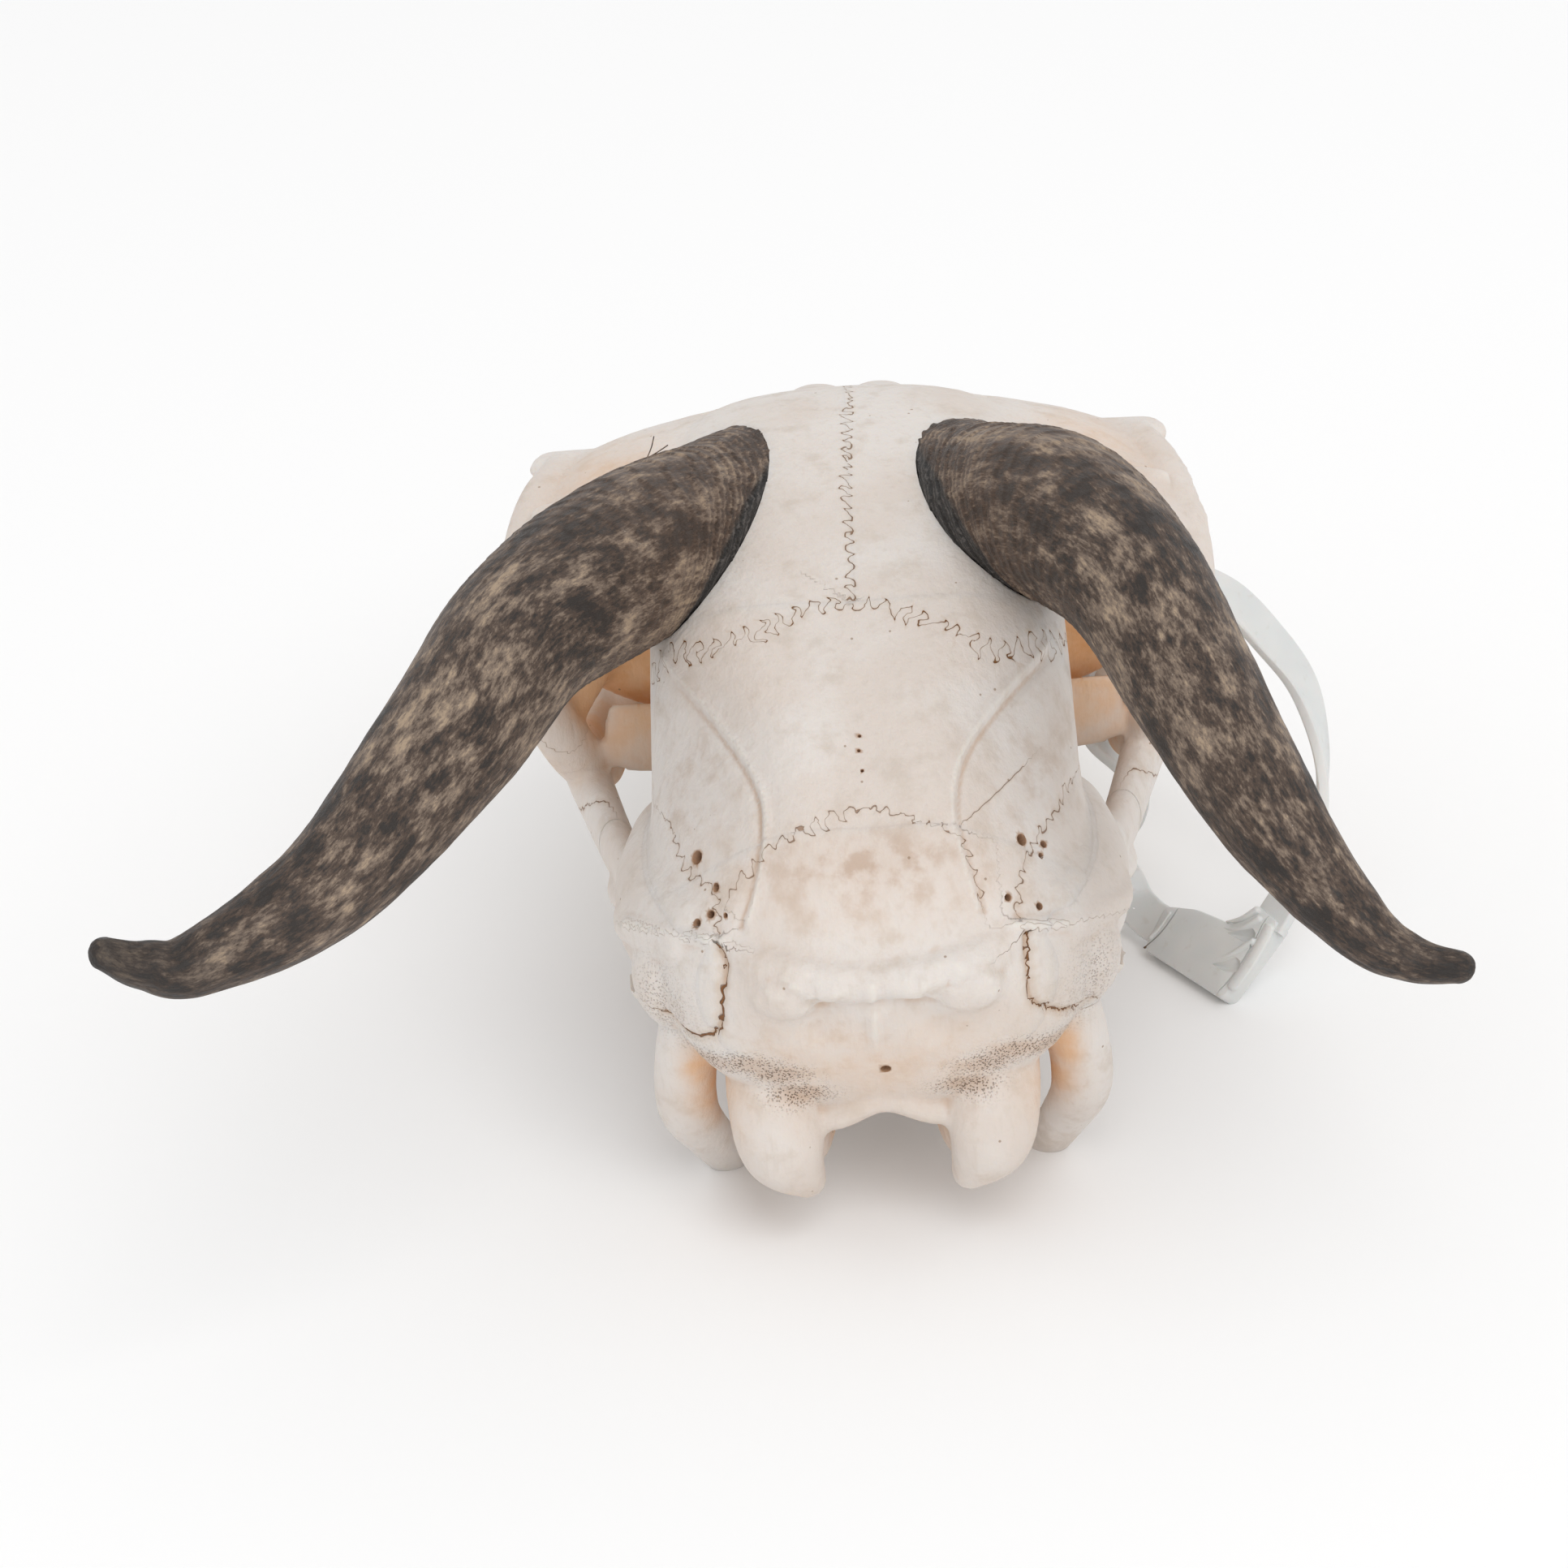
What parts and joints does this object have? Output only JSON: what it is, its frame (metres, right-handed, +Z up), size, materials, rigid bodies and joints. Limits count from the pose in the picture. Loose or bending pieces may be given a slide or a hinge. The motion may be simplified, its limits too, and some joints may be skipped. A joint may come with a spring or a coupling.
{
  "type": "goat skull",
  "caption": "Dry goat skull without a lower jaw, with two swept-back horn sheaths, cheek teeth, and a plain loop tag through the right orbit.",
  "frame": {"origin": "centre of the bounding box, on the floor", "axes": "+Y towards the nose, +X the skull's right side, +Z up"},
  "size_m": [0.1758, 0.2684, 0.1087],
  "materials": {
    "bone": "dry matt bone",
    "tooth_bearing_bone": "dry matt bone with enamel teeth",
    "horn": "dry fibrous horn sheath",
    "tag": "semi-matt moulded plastic"
  },
  "bodies": {
    "root": {"frontal_left": "bone", "frontal_right": "bone", "parietal": "bone", "occipital": "bone", "sphenoid": "bone", "temporal_left": "bone", "temporal_right": "bone", "zygomatic_left": "bone", "zygomatic_right": "bone", "lacrimal_left": "bone", "lacrimal_right": "bone", "nasal_left": "bone", "nasal_right": "bone", "premaxilla_left": "bone", "premaxilla_right": "bone", "maxilla_left": "tooth_bearing_bone", "maxilla_right": "tooth_bearing_bone", "horn_left": "horn", "horn_right": "horn", "tag_strap": "tag", "tag_lock": "tag"}
  },
  "joints": []
}
